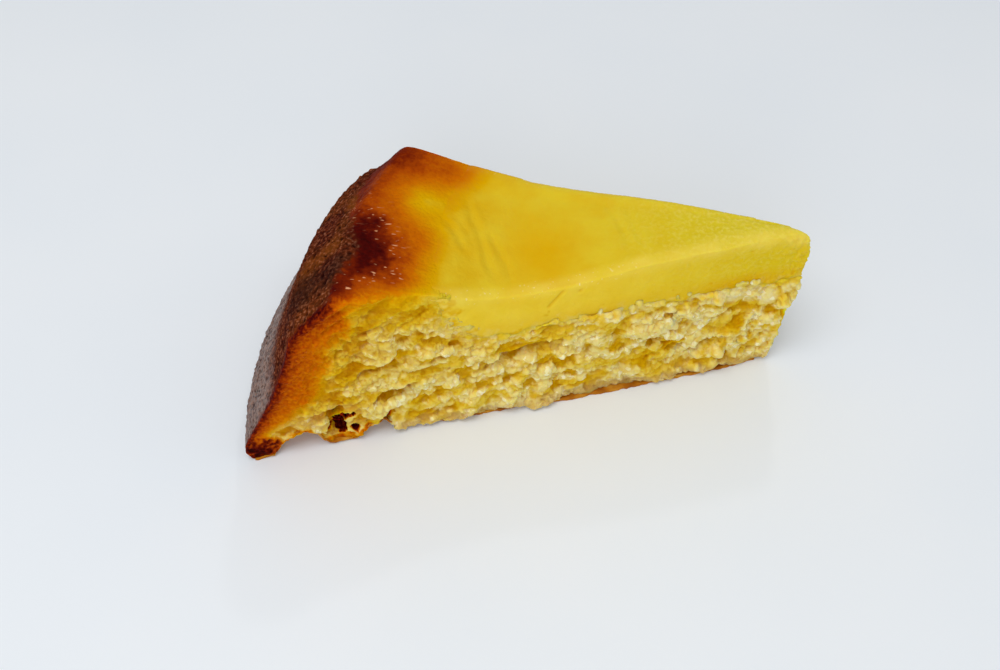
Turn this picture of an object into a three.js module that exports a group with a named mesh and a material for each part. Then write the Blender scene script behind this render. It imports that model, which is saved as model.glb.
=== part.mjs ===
// One slice of a round baked cheesecake: smooth set custard over a coarse, grainy curd crumb that
// carries the browned rim. Millimetres, +Z up. The point of the slice looks along +X, the baked rim
// along -X and the rougher of the two cut faces along -Y. The origin is the middle of the slice's
// box, at its foot.

import * as THREE from 'three';
import { ImprovedNoise } from 'three/addons/math/ImprovedNoise.js';
import { mergeVertices } from 'three/addons/utils/BufferGeometryUtils.js';

const { clamp, degToRad, lerp, smoothstep } = THREE.MathUtils;

// The wedge in plan. Distances r run from the sharp point of the wedge back to the rim.
const HALF_ANGLE = degToRad(14.9);
const CAKE_AXIS = new THREE.Vector2(-18.5, -19); // middle of the round cake, from the slice's point
const FOOT_RADIUS = 111.5; // of the round cake, where its wall meets the floor
const POINT_BLUNT = { near: 1.8, far: 6, bulge: 1.1 }; // how the sharp point is worn back to a nose

// The top of the cake: level at the point, dished in the middle, lifted at the rim.
const TOP_HEIGHT = 41.4;
const TOP_DISH = { near: 2.8, far: 2, at: 62, spread: 20 };
const RIM_HEIGHT = { near: 47.2, far: 42 };
const RIM_LIFT_START = 70;
const EDGE_ROUNDING = { drop: 1, width: 2.2 };

// The baked wall: it leans in as it rises, rounds over a shoulder, and is tucked under at the foot.
const WALL_LEAN = { inset: 15.9, height: 38, power: 1.5 };
const SHOULDER = { near: 37.7, far: 31.6, slope: 1.1, softness: 1 };
const FOOT_TUCK = { height: 6, inset: 4.6 };

// The custard lies in a shallow dish of crumb, and thins out to a blunt lip where the browned ring starts.
const CUSTARD_FLOOR = 27;
const CUSTARD_FLOOR_WAVE = { height: 1.5, length: 6.5, seed: 7.9 };
const CUSTARD_END = { near: 84.5, far: 78 };
const CUSTARD_LIP = 1.6; // thickness at that end
const CUSTARD_END_CURVE = 13; // length over which its floor curves up to the lip
const LAYER_GAP = 0.34; // between the two layers

// The crumb below the custard's overhanging nose has fallen away towards the floor.
const NOSE_UNDERCUT = { depth: 5.6, power: 1.3 };
const NOSE_SWELL = { height: 1.2, depth: 7 }; // the custard's nose is fullest at half its height

// Crags of the torn crumb: large clumps, small knobs, and a baked edge that tears more cleanly.
const CLUMPS = { height: 1.4, length: 8.5, seed: 3.7 };
const KNOBS = { height: 0.9, length: 4.4, seed: 11.3 };
const LUMP = { swing: 2.2, base: -0.5 }; // from the bottom of a crease to the top of a lump
const BAKED_EDGE = { start: 107, end: 117, relief: 0.35 };
const CUSTARD_CUT_WAVE = { height: 0.5, length: 14 };
const CRAG_DEPTH_IN = 0.25; // share of the half width, next to a cut, that leans with the crags
const CRAG_ROOM = 0.3; // most that a crag stands out or in, as a share of the half width
const FACE_SHIFT = 40; // sets the crags of the two cut faces apart

// Crevices of the rough cut face, each from one (r, height) to another. The other face has the same
// kind, in another order.
const CREVICES = [
  { from: [109.5, 9.6], to: [109, 5], depth: 5, reach: 2.3 },
  { from: [102, 21.5], to: [96, 24], depth: 2, reach: 2 },
  { from: [98, 12.6], to: [93, 14.6], depth: 3.2, reach: 2.4 },
  { from: [98.4, 4], to: [96.5, 8], depth: 2, reach: 1.4 },
  { from: [73, 17], to: [59, 19.4], depth: 3.4, reach: 2 },
  { from: [42, 18], to: [29, 9.6], depth: 2.2, reach: 1.7 },
  { from: [33, 22.4], to: [26, 17.4], depth: 2, reach: 1.6 },
  { from: [27, 8.6], to: [19, 10.8], depth: 2.4, reach: 1.7 },
  { from: [21, 18.4], to: [13.5, 20.8], depth: 2.2, reach: 1.6 },
];
const OTHER_FACE_TURN = 116; // r of a crevice on the other face is this less its r here

// The foot of the rough cut face stands clear of the floor in two arches, and is ragged all along.
const ARCHES = [
  { at: 117.6, reach: 6.2, rise: 6.2 },
  { at: 100, reach: 5.4, rise: 4.2 },
];
const ARCH_DEPTH = 11; // how far in under the slice an arch runs
const RAGGED_FOOT = { height: 1.6, length: 5.2, depth: 4, seed: 23.1 };

// The edge of the underside curls up a little, so that the slice rests on its flat middle and three corners.
const EDGE_CURL = { rise: 0.4, depth: 6, cornerReach: 5 };

// Grid of each layer: columns from point to rim, across the wedge, and up.
const CUSTARD_COLUMNS = 66;
const RING_COLUMNS = 17;
const CRUMB_COLUMNS = CUSTARD_COLUMNS + 1 + RING_COLUMNS;
const COLUMNS_ACROSS = 10;
const CUSTARD_ROWS = 3;
const CRUMB_ROWS = 18;

const noise = new ImprovedNoise();

// Place across the wedge, from -1 at the rough cut face to 1 at the other, closer together at the cuts.
const acrossAt = (j) => Math.sin((j / COLUMNS_ACROSS - 0.5) * Math.PI);

// A value that changes evenly from the rough cut face to the other one.
const acrossValue = (range, t) => lerp(range.near, range.far, (t + 1) / 2);

// Rounded lumps with sharp creases between them.
function lumps(x, y, { length, seed }) {
  return LUMP.swing * Math.abs(noise.noise(x / length, y / length, seed)) + LUMP.base;
}

// Distance from the wedge's point to the baked wall at height z, in the direction t across.
function wallDistance(z, t) {
  const lean = WALL_LEAN.inset * (1 - (1 - clamp(z / WALL_LEAN.height, 0, 1)) ** WALL_LEAN.power);
  const past = (z - acrossValue(SHOULDER, t)) / SHOULDER.softness;
  const shoulder = SHOULDER.slope * SHOULDER.softness * Math.log(1 + Math.exp(past));
  const tuck = FOOT_TUCK.inset * clamp(1 - z / FOOT_TUCK.height, 0, 1) ** 2;
  const radius = FOOT_RADIUS - lean - shoulder - tuck;
  const angle = t * HALF_ANGLE;
  const along = -Math.cos(angle) * CAKE_AXIS.x + Math.sin(angle) * CAKE_AXIS.y;
  return along + Math.sqrt(along ** 2 - CAKE_AXIS.lengthSq() + radius ** 2);
}

const crestDistance = (t) => wallDistance(acrossValue(RIM_HEIGHT, t), t);

function topHeight(r, t) {
  const dish = acrossValue(TOP_DISH, t) * Math.exp(-(((r - TOP_DISH.at) / TOP_DISH.spread) ** 2));
  const lift = smoothstep(r, RIM_LIFT_START, crestDistance(t));
  return TOP_HEIGHT - dish + (acrossValue(RIM_HEIGHT, t) - TOP_HEIGHT) * lift;
}

// Distance from the wedge's point to its worn nose.
function noseDistance(t) {
  return acrossValue(POINT_BLUNT, t) - POINT_BLUNT.bulge * (1 - t ** 2);
}

const custardEnd = (t) => acrossValue(CUSTARD_END, t);

// Distance of column i of the custard.
function custardDistance(i, t) {
  return lerp(noseDistance(t), custardEnd(t), i / CUSTARD_COLUMNS);
}

// Height of the surface where the two layers meet.
function layerHeight(r, t) {
  const end = custardEnd(t);
  const lipFloor = topHeight(end, t) - CUSTARD_LIP;
  const curve = clamp((r - end) / CUSTARD_END_CURVE + 1, 0, 1);
  const wave = CUSTARD_FLOOR_WAVE.height * lumps(r, 0, CUSTARD_FLOOR_WAVE);
  const floor = CUSTARD_FLOOR - wave * (1 - curve);
  return lerp(floor, lipFloor, 1 - Math.sqrt(1 - curve ** 2));
}

// How far the rounded top edge drops at distance r, next to the cuts and at the nose.
function edgeDrop(r, t) {
  const fromCut = r * HALF_ANGLE * (1 - Math.abs(t));
  const fromNose = r - noseDistance(t);
  const near = Math.min(fromCut, fromNose) / EDGE_ROUNDING.width;
  return EDGE_ROUNDING.drop * clamp(1 - near, 0, 1) ** 2;
}

// Depth of the crevices of one cut face at a point of it.
function creviceDepth(r, z, t) {
  const point = new THREE.Vector3(t < 0 ? r : OTHER_FACE_TURN - r, z, 0);
  const nearest = new THREE.Vector3();
  let depth = 0;
  for (const crevice of CREVICES) {
    const line = new THREE.Line3(new THREE.Vector3(...crevice.from), new THREE.Vector3(...crevice.to));
    line.closestPointToPoint(point, true, nearest);
    const share = 1 - smoothstep(nearest.distanceTo(point), 0, crevice.reach);
    depth = Math.max(depth, crevice.depth * share);
  }
  return depth;
}

// How far the torn crumb stands out of the flat plane of its cut.
function crumbRelief(r, z, t) {
  const shifted = z + FACE_SHIFT * Math.sign(t);
  const clump = CLUMPS.height * lumps(r, shifted, CLUMPS);
  const knob = KNOBS.height * lumps(r, shifted, KNOBS);
  const baked = lerp(1, BAKED_EDGE.relief, smoothstep(r, BAKED_EDGE.start, BAKED_EDGE.end));
  const relief = (clump + knob) * baked - creviceDepth(r, z, t);
  const room = CRAG_ROOM * r * HALF_ANGLE;
  return clamp(relief, -room, room);
}

const REST_CORNERS = [
  { r: noseDistance(0) + NOSE_UNDERCUT.depth, t: 0 },
  { r: wallDistance(0, -1), t: -1 },
  { r: wallDistance(0, 1), t: 1 },
];

function cornerDistance(r, t) {
  return Math.min(...REST_CORNERS.map((corner) => Math.hypot(r - corner.r, r * HALF_ANGLE * (t - corner.t))));
}

// Height of the underside: flat, but curled up at its edge, and arched and ragged along the cut faces.
function footHeight(r, t) {
  const fromCut = r * HALF_ANGLE * (1 - Math.abs(t));
  const fromEdge = Math.min(fromCut, wallDistance(0, t) - r);
  const ragged = RAGGED_FOOT.height * Math.max(0, lumps(r, FACE_SHIFT * Math.sign(t), RAGGED_FOOT));
  let height = EDGE_CURL.rise * (1 - smoothstep(fromEdge, 0, EDGE_CURL.depth));
  height += ragged * (1 - smoothstep(fromCut, 0, RAGGED_FOOT.depth));
  if (t < 0) {
    for (const arch of ARCHES) {
      const rise = arch.rise * Math.max(0, 1 - ((r - arch.at) / arch.reach) ** 2);
      height = Math.max(height, rise * (1 - smoothstep(fromCut, 0, ARCH_DEPTH)));
    }
  }
  return height * smoothstep(cornerDistance(r, t), 0, EDGE_CURL.cornerReach);
}

// A point at distance r in the direction t across, moved out of the nearer cut plane by relief.
function wedgePoint(r, t, z, relief) {
  const angle = t * HALF_ANGLE;
  const share = smoothstep(Math.abs(t), 1 - CRAG_DEPTH_IN, 1);
  return new THREE.Vector3(
    -r * Math.cos(angle) + relief * share * Math.sin(HALF_ANGLE),
    r * Math.sin(angle) + relief * share * Math.cos(HALF_ANGLE) * Math.sign(t),
    z,
  );
}

function custardPoint(i, j, k) {
  const t = acrossAt(j);
  const r = custardDistance(i, t);
  const bottom = layerHeight(r, t) + LAYER_GAP / 2;
  const top = topHeight(r, t) - edgeDrop(r, t);
  const up = k / CUSTARD_ROWS;
  const wave = noise.noise(r / CUSTARD_CUT_WAVE.length, up, Math.sign(t));
  const fullness = 4 * up * (1 - up) * (1 - smoothstep(r - noseDistance(t), 0, NOSE_SWELL.depth));
  const z = lerp(bottom, top, up);
  return wedgePoint(r - NOSE_SWELL.height * fullness, t, z, CUSTARD_CUT_WAVE.height * wave);
}

// The crumb's columns follow the custard's, step up at its lip, and go on to the crest of the rim.
function crumbPoint(i, j, k) {
  const t = acrossAt(j);
  const underCustard = i <= CUSTARD_COLUMNS;
  const ringStart = custardEnd(t) + LAYER_GAP;
  const ringShare = (i - CUSTARD_COLUMNS - 1) / RING_COLUMNS;
  const nose = noseDistance(t);
  const crest = crestDistance(t);
  let topDistance = underCustard ? custardDistance(i, t) : lerp(ringStart, crest, ringShare);
  if (i === CUSTARD_COLUMNS) topDistance = ringStart - LAYER_GAP / 4;
  const share = (topDistance - nose) / (crest - nose);

  const up = k / CRUMB_ROWS;
  const noseHere = nose + NOSE_UNDERCUT.depth * (1 - up) ** NOSE_UNDERCUT.power;
  const r = lerp(noseHere, wallDistance(up * acrossValue(RIM_HEIGHT, t), t), share);
  const foot = footHeight(lerp(nose + NOSE_UNDERCUT.depth, wallDistance(0, t), share), t);
  const top = underCustard
    ? layerHeight(Math.min(topDistance, custardEnd(t)), t) - LAYER_GAP / 2
    : topHeight(topDistance, t) - edgeDrop(topDistance, t);
  const z = lerp(foot, top, up);
  return wedgePoint(r, t, z, crumbRelief(r, z, t));
}

// A closed solid from a box of cells whose corners are moved to pointAt(i, j, k).
function gridSolid(columns, rows, pointAt) {
  const box = new THREE.BoxGeometry(1, 1, 1, columns, COLUMNS_ACROSS, rows);
  box.deleteAttribute('normal');
  box.deleteAttribute('uv');
  const solid = mergeVertices(box);
  const corners = solid.getAttribute('position');
  for (let n = 0; n < corners.count; n += 1) {
    const i = Math.round((0.5 - corners.getX(n)) * columns);
    const j = Math.round((0.5 + corners.getY(n)) * COLUMNS_ACROSS);
    const k = Math.round((0.5 + corners.getZ(n)) * rows);
    const point = pointAt(i, j, k);
    corners.setXYZ(n, point.x, point.y, point.z);
  }
  solid.computeVertexNormals();
  return solid;
}

function layer(name, geometry, color, roughness) {
  const material = new THREE.MeshStandardMaterial({ color, roughness, metalness: 0 });
  const mesh = new THREE.Mesh(geometry, material);
  mesh.name = name;
  return mesh;
}

const slice = new THREE.Group();
slice.add(layer('custard', gridSolid(CUSTARD_COLUMNS, CUSTARD_ROWS, custardPoint), '#d9bd24', 0.35));
slice.add(layer('crumb', gridSolid(CRUMB_COLUMNS, CRUMB_ROWS, crumbPoint), '#dcc470', 0.85));

// The slice is moved so that the origin lies under the middle of its box.
const box = new THREE.Box3().setFromObject(slice);
const middle = box.getCenter(new THREE.Vector3());
slice.position.set(-middle.x, -middle.y, -box.min.z);

const cheesecake = new THREE.Group();
cheesecake.add(slice);

export default cheesecake;
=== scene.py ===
"""The looks of one slice of baked cheesecake: smooth set custard, torn curd crumb with a browned rim and
wall, and a thin baked skin underneath. Sizes are in millimetres until a mesh is made."""

import math

import bmesh
import bpy
import numpy as np
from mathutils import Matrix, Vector
from mathutils.bvhtree import BVHTree
from mathutils.kdtree import KDTree


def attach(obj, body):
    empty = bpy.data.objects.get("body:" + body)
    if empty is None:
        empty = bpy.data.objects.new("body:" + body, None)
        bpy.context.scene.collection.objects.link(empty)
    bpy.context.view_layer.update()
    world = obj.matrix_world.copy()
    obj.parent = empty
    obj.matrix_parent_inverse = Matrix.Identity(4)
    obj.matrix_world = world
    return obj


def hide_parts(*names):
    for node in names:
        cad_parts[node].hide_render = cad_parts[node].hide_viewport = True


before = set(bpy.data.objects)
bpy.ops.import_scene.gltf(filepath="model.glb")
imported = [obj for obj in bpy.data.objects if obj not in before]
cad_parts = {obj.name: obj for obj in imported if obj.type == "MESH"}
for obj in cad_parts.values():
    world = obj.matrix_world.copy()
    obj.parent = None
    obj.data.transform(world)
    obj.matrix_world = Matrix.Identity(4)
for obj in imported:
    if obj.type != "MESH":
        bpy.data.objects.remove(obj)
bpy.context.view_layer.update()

MM = 0.001
SEED = 20

# The wedge in plan. Distances r run from the sharp point of the wedge back to the rim, and t goes from -1
# at the rough cut face to 1 at the other cut face.
POINT = np.array([63.77, 1.33, 0.0])
HALF_ANGLE = math.radians(14.9)

# Rim: the grid that lies over the ring, the shoulder and the wall.
RIM_STEP = 0.3
RIM_WIDTH = 60.0
RIM_LENGTH = 95.0
RIM_PIVOT = {"near": 88.0, "far": 79.0, "height": 16.0}  # r and height where the rays that find it meet
RIM_SWEEP = (-34.0, 121.0)  # degrees from upright of the first and the last of these rays

# Crumb: grains packed in clumps on a core, with golden gaps between the clumps.
CRUMB_VOXEL = 0.3
CRUMB_TRIANGLES = 540000
GRAINS = {
    "per_mm2": 0.55, "spread": 1.6, "round": 0.6, "height": (0.35, 0.8), "rise": (-0.3, 0.35), "blend": 0.16,
}
CLUMPS = {"size": 3.2, "stretch": 0.5, "by_depth": 0.18, "gaps": -0.16, "rise": 0.12, "drop": 0.3}
BROKEN_SIDES = {"count": 6, "reach": (0.34, 0.5)}

# Single lumps of the rough cut face, as (r, height, size): big smooth ones below the nose, a row of knobs by
# the foot, and a crumb that sticks out at the point.
SINGLE_LUMPS = [
    (17.5, 25.0, 6.0),
    (13.0, 23.6, 5.0),
    (21.5, 25.6, 4.2),
    (9.0, 22.2, 4.8),
    (5.6, 20.8, 3.6),
    (23.5, 6.6, 3.6),
    (20.0, 7.2, 3.4),
    (16.8, 8.4, 3.3),
    (14.0, 9.6, 3.0),
    (21.0, 2.2, 3.6),
    (18.2, 2.4, 4.0),
    (2.2, 19.7, 2.4),
]

# The torn hole by the foot: lines drawn on the rough cut face, as (r, height), each with its reach.
HOLE_LINES = [
    ((108.9, 7.2), (108.3, 3.8), 1.0),
    ((108.6, 8.0), (105.9, 9.0), 0.45),
    ((105.6, 4.6), (105.1, 3.8), 0.5),
    ((111.2, 4.8), (109.6, 5.6), 0.5),
]
HOLE_DEPTH = 2.6
CRACK = ((98.3, 4.2), (96.6, 8.2))  # a browned crack beside it

# Custard: it ends on the ring, and runs on a little under and behind what shows.
CUSTARD_VOXEL = 0.36
CUSTARD_SMOOTHING = 30
CUSTARD_END = {"near": 84.5, "far": 78.0}
CUSTARD_OVERLAP = 3.2
CUSTARD_WORN = {"deep": 0.15, "over": (-8.0, 0.0), "below": 0.9}  # how far its cut face is worn back
CUSTARD_OVER_RING = {"reach": 8.0, "rise": 0.12, "dip": 0.6}  # how it thins out there
FAR_EDGE_LIFT = 0.8  # how far the top rises to the edge of the other cut face

# Camera, fitted to the slice's edges in the photograph's frame.
CAMERA_TARGET = (-5.9, 6.0, 0.0)
CAMERA_DISTANCE = 350.0
CAMERA_AZIMUTH = math.radians(0.6)
CAMERA_ELEVATION = math.radians(48.9)
CAMERA_LENS = 52.2


def linear(hex_colour):
    """An sRGB hex colour as linear RGBA."""
    parts = [int(hex_colour[i:i + 2], 16) / 255 for i in (1, 3, 5)]
    return [c / 12.92 if c <= 0.04045 else ((c + 0.055) / 1.055) ** 2.4 for c in parts] + [1.0]


def smooth_step(x, low, high):
    """From 0 at low to 1 at high, or the other way round where low is the greater."""
    s = np.clip((x - low) / (high - low), 0, 1)
    return s * s * (3 - 2 * s)


def bell(x):
    """1 at 0, falling off smoothly on both sides to almost nothing at 2."""
    return np.exp(-(x ** 2))


# Noise, in the same place each run.
noise_table = np.random.default_rng(SEED)
NOISE_ORDER = np.tile(noise_table.permutation(256), 3)
NOISE_SLOPES = noise_table.normal(size=(256, 3))
NOISE_SLOPES /= np.linalg.norm(NOISE_SLOPES, axis=1)[:, None]


def noise(points, size, shift=0.0):
    """Smooth noise of about -0.7 to 0.7 at points, whose lumps are about size across."""
    p = points / size + shift
    cell = np.floor(p).astype(int)
    f = p - cell
    fade = f ** 3 * (f * (f * 6 - 15) + 10)
    total = np.zeros(len(p))
    for corner in np.ndindex(2, 2, 2):
        c = np.array(corner)
        x, y, z = ((cell + c) & 255).T
        slope = NOISE_SLOPES[NOISE_ORDER[NOISE_ORDER[NOISE_ORDER[x] + y] + z]]
        weight = np.prod(np.where(c == 1, fade, 1 - fade), axis=1)
        total += weight * np.einsum("ij,ij->i", slope, f - c)
    return total


def wedge(points):
    """Distance r from the sharp point, and place t across the wedge."""
    along = POINT[0] - points[:, 0]
    across = points[:, 1] - POINT[1]
    return np.hypot(along, across), np.arctan2(across, along) / HALF_ANGLE


def between_cuts(ends, t):
    """A measure that goes evenly from its near value at the rough cut face to its far one at the other."""
    return ends["near"] + (ends["far"] - ends["near"]) * (t + 1) / 2


def plan_distance(points, middle, half):
    """Distance of points in plan, in half lengths, from a middle that is given from the wedge's point."""
    return np.linalg.norm((points[:, :2] - POINT[:2] - middle) / half, axis=1)


def cut_normal(side):
    """Outward direction of the cut face at t = side."""
    return np.array([math.sin(HALF_ANGLE), side * math.cos(HALF_ANGLE), 0.0])


def line_distance(r, z, start, end):
    """Distance of points (r, z) of a cut face from a line drawn on it."""
    a = np.array(start)
    d = np.array(end) - a
    p = np.stack([r, z], -1) - a
    s = np.clip(p @ d / (d @ d), 0, 1)
    return np.linalg.norm(p - s[:, None] * d, axis=1)


def by_column(r, heights, best):
    """The best of the heights in each whole millimetre of r: the places, and what was found there."""
    columns = np.round(r)
    places = np.unique(columns)
    return places, np.array([best(heights[columns == c]) for c in places])


def length_along(line):
    """Distances of a line's points from its first, measured along it."""
    return np.concatenate([[0], np.cumsum(np.linalg.norm(np.diff(line, axis=0), axis=1))])


def values_of(items, field, width, kind):
    """One field of a mesh's corners, edges or triangles, as rows of numbers."""
    values = np.zeros(len(items) * width, kind)
    items.foreach_get(field, values)
    return values.reshape(-1, width)


def corners_of(piece):
    """Corners in millimetres and corner normals of a piece's mesh."""
    corners, normals = (values_of(piece.data.vertices, field, 3, np.float32) for field in ("co", "normal"))
    return corners.astype(float) / MM, normals.astype(float)


def triangles_of(piece):
    piece.data.calc_loop_triangles()
    return values_of(piece.data.loop_triangles, "vertices", 3, np.int32)


def edge_ends(piece):
    return values_of(piece.data.edges, "vertices", 2, np.int32)


def node_arrays(name):
    """Corners in millimetres and triangles of a CAD node, with its split corners merged."""
    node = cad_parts[name]
    merged, place = np.unique(np.round(corners_of(node)[0], 3), axis=0, return_inverse=True)
    triangles = place.reshape(-1)[triangles_of(node)]
    distinct = np.array([len(set(tri)) == 3 for tri in triangles.tolist()])
    return merged, triangles[distinct]


def mesh_object(name, corners, faces):
    """A new, smoothly shaded object from corners in millimetres and an array of triangles or quads."""
    mesh = bpy.data.meshes.new(name)
    sides = faces.shape[1]
    mesh.vertices.add(len(corners))
    mesh.vertices.foreach_set("co", (corners * MM).astype(np.float32).ravel())
    mesh.loops.add(faces.size)
    mesh.loops.foreach_set("vertex_index", faces.astype(np.int32).ravel())
    mesh.polygons.add(len(faces))
    mesh.polygons.foreach_set("loop_start", np.arange(0, faces.size, sides, dtype=np.int32))
    mesh.polygons.foreach_set("loop_total", np.full(len(faces), sides, np.int32))
    mesh.polygons.foreach_set("use_smooth", np.ones(len(faces), bool))
    mesh.update(calc_edges=True)
    mesh.validate()
    piece = bpy.data.objects.new(name, mesh)
    bpy.context.scene.collection.objects.link(piece)
    return piece


def move_corners(piece, corners):
    piece.data.vertices.foreach_set("co", (corners * MM).astype(np.float32).ravel())
    piece.data.update()


def apply_modifier(piece, kind, **settings):
    """Replaces the piece's mesh by what one modifier makes of it."""
    modifier = piece.modifiers.new(kind.lower(), kind)
    for name, value in settings.items():
        setattr(modifier, name, value)
    made = bpy.data.meshes.new_from_object(piece.evaluated_get(bpy.context.evaluated_depsgraph_get()))
    piece.modifiers.clear()
    old = piece.data
    piece.data = made
    bpy.data.meshes.remove(old)


def remesh(piece, voxel):
    """Fuses what overlaps in a piece into one closed skin with an even mesh."""
    apply_modifier(piece, "REMESH", mode="VOXEL", voxel_size=voxel * MM, use_smooth_shade=True)


def smoothed(values, ends, rounds):
    """Values of the corners after they are drawn halfway towards their neighbours, round by round."""
    a, b = ends.T
    count = np.maximum(np.bincount(ends.ravel(), minlength=len(values)), 1)
    values = values.copy()
    for _ in range(rounds):
        for k in range(values.shape[1]):
            column = values[:, k]
            total = np.bincount(a, column[b], len(values)) + np.bincount(b, column[a], len(values))
            values[:, k] = column + 0.5 * (total / count - column)
    return values


def paint(piece, fields):
    """Stores a number for each corner under each name, for the materials to read."""
    for name, values in fields.items():
        attribute = piece.data.attributes.new(name, "FLOAT", "POINT")
        attribute.data.foreach_set("value", np.asarray(values, np.float32))


# The outer surface of both layers, and the rim's grid on it

custard_corners, custard_triangles = node_arrays("custard")
crumb_corners, crumb_triangles = node_arrays("crumb")
solid_surface = BVHTree.FromPolygons(
    np.vstack([custard_corners, crumb_corners]).tolist(),
    np.vstack([custard_triangles, crumb_triangles + len(custard_corners)]).tolist(),
)

SAFE_ACROSS = 0.93  # nearer to the cuts the solid's own crags would show in the rim
RIM_RAYS = 420
FOOT_HEIGHT = 0.6
EDGE_STEP = 6  # columns over which the slope is taken that carries the rim on to the cuts
GROOVE_RAYS = 12  # half of the groove that the rim's grid bridges where the custard ends
RAY_START = 90.0
RIM_ACROSS = 1.002  # the rim's grid ends just past the cuts
RIM_BLUR = {"across": 3.2, "along": 0.8}  # how far the rim's grid is evened out
UP = np.array([0, 0, 1.0])


def rim_grid():
    """Points over the ring, shoulder and wall, by column across and row from the custard to the foot."""
    columns = int(round(RIM_WIDTH / RIM_STEP)) + 1
    across = np.linspace(-RIM_ACROSS, RIM_ACROSS, columns)
    sweep = np.radians(np.linspace(*RIM_SWEEP, RIM_RAYS))
    reach = np.zeros((columns, RIM_RAYS))
    inner = np.abs(across) <= SAFE_ACROSS
    for c in np.flatnonzero(inner):
        out, pivot = rim_axes(across[c])
        for k, angle in enumerate(sweep):
            ray = math.cos(angle) * UP + math.sin(angle) * out
            hit = solid_surface.ray_cast(Vector(pivot + RAY_START * ray), Vector(-ray))
            reach[c, k] = RAY_START - hit[3]
    reach[inner] = closed_over(reach[inner], GROOVE_RAYS)
    first, last = np.flatnonzero(inner)[[0, -1]]
    for c in np.flatnonzero(~inner):
        edge, step = (first, EDGE_STEP) if c < first else (last, -EDGE_STEP)
        slope = (reach[edge + step] - reach[edge]) / (across[edge + step] - across[edge])
        reach[c] = reach[edge] + slope * (across[c] - across[edge])
    rows = int(round(RIM_LENGTH / RIM_STEP)) + 1
    grid = np.zeros((columns, rows, 3))
    past_crest = np.zeros((columns, rows))
    crest_r = np.zeros(columns)
    for c in range(columns):
        out, pivot = rim_axes(across[c])
        rays = np.cos(sweep)[:, None] * UP + np.sin(sweep)[:, None] * out
        line = pivot + reach[c][:, None] * rays
        low = np.flatnonzero(line[:, 2] < FOOT_HEIGHT)
        line = line[: (low[0] if len(low) else np.argmin(line[:, 2])) + 1]
        length = length_along(line)
        at = np.linspace(0, length[-1], rows)
        grid[c] = np.stack([np.interp(at, length, line[:, k]) for k in range(3)], -1)
        crest = np.argmax(grid[c][:, 2])
        past_crest[c] = at - at[crest]
        crest_r[c] = np.hypot(*(grid[c][crest] - POINT)[:2])
    spread = RIM_BLUR["across"] / RIM_STEP
    grid = blurred(blurred(grid, 0, spread), 1, RIM_BLUR["along"] / RIM_STEP)
    return across, grid, blurred(past_crest, 0, spread), blurred(crest_r, 0, spread)


def closed_over(values, half):
    """Values along the rows with grooves narrower than the window filled."""
    for best in (np.max, np.min):
        padded = np.pad(values, ((0, 0), (half, half)), mode="edge")
        windows = np.lib.stride_tricks.sliding_window_view(padded, 2 * half + 1, axis=1)
        values = best(windows, axis=2)
    return values


def rim_axes(t):
    """Outward direction, and the point that the rim's rays leave from, at place t across."""
    angle = t * HALF_ANGLE
    out = np.array([-math.cos(angle), math.sin(angle), 0.0])
    return out, POINT + between_cuts(RIM_PIVOT, t) * out + RIM_PIVOT["height"] * UP


def blurred(values, axis, spread):
    """Values evened out along one axis of a grid, whose ends go on in a straight line."""
    values = np.moveaxis(values, axis, 0)
    half = int(3 * spread)
    kernel = np.exp(-0.5 * (np.arange(-half, half + 1) / spread) ** 2)
    kernel /= kernel.sum()
    half = min(half, len(values) - 1)
    before = 2 * values[0] - values[half:0:-1]
    after = 2 * values[-1] - values[-2:-half - 2:-1]
    padded = np.concatenate([before, values, after])
    out = sum(w * padded[i:i + len(values)] for i, w in enumerate(kernel[:2 * half + 1]))
    return np.moveaxis(out, 0, axis)


ACROSS, RIM, PAST_CREST, CREST_R = rim_grid()


def grid_faces(columns, rows):
    index = np.arange(columns * rows).reshape(columns, rows)
    return np.stack([index[:-1, :-1], index[1:, :-1], index[1:, 1:], index[:-1, 1:]], -1).reshape(-1, 4)


def grid_normals(grid):
    """Directions square to a grid of points, on the side that looks up at its first row."""
    normal = np.cross(np.gradient(grid, axis=1), np.gradient(grid, axis=0))
    normal /= np.linalg.norm(normal, axis=2)[..., None]
    return normal * np.sign(normal[len(grid) // 2, 0, 2])


RIM_FACES = grid_faces(*RIM.shape[:2])
RIM_NORMALS = grid_normals(RIM).reshape(-1, 3)
rim_surface = BVHTree.FromPolygons(RIM.reshape(-1, 3).tolist(), RIM_FACES.tolist())


def rim_hits(points):
    """The rim's nearest places to points, with outward directions, distances past the crest and from the
    grid's first row."""
    hits = [rim_surface.find_nearest(Vector(p)) for p in points]
    corner = RIM_FACES[[hit[2] for hit in hits], 0]
    from_start = corner % RIM.shape[1] * RIM_STEP
    return np.array([hit[0] for hit in hits]), RIM_NORMALS[corner], PAST_CREST.ravel()[corner], from_start


def cut_distance(points):
    """How far points lie inside the nearer cut face."""
    r, t = wedge(points)
    return (1 - np.abs(t)) * HALF_ANGLE * r


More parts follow.
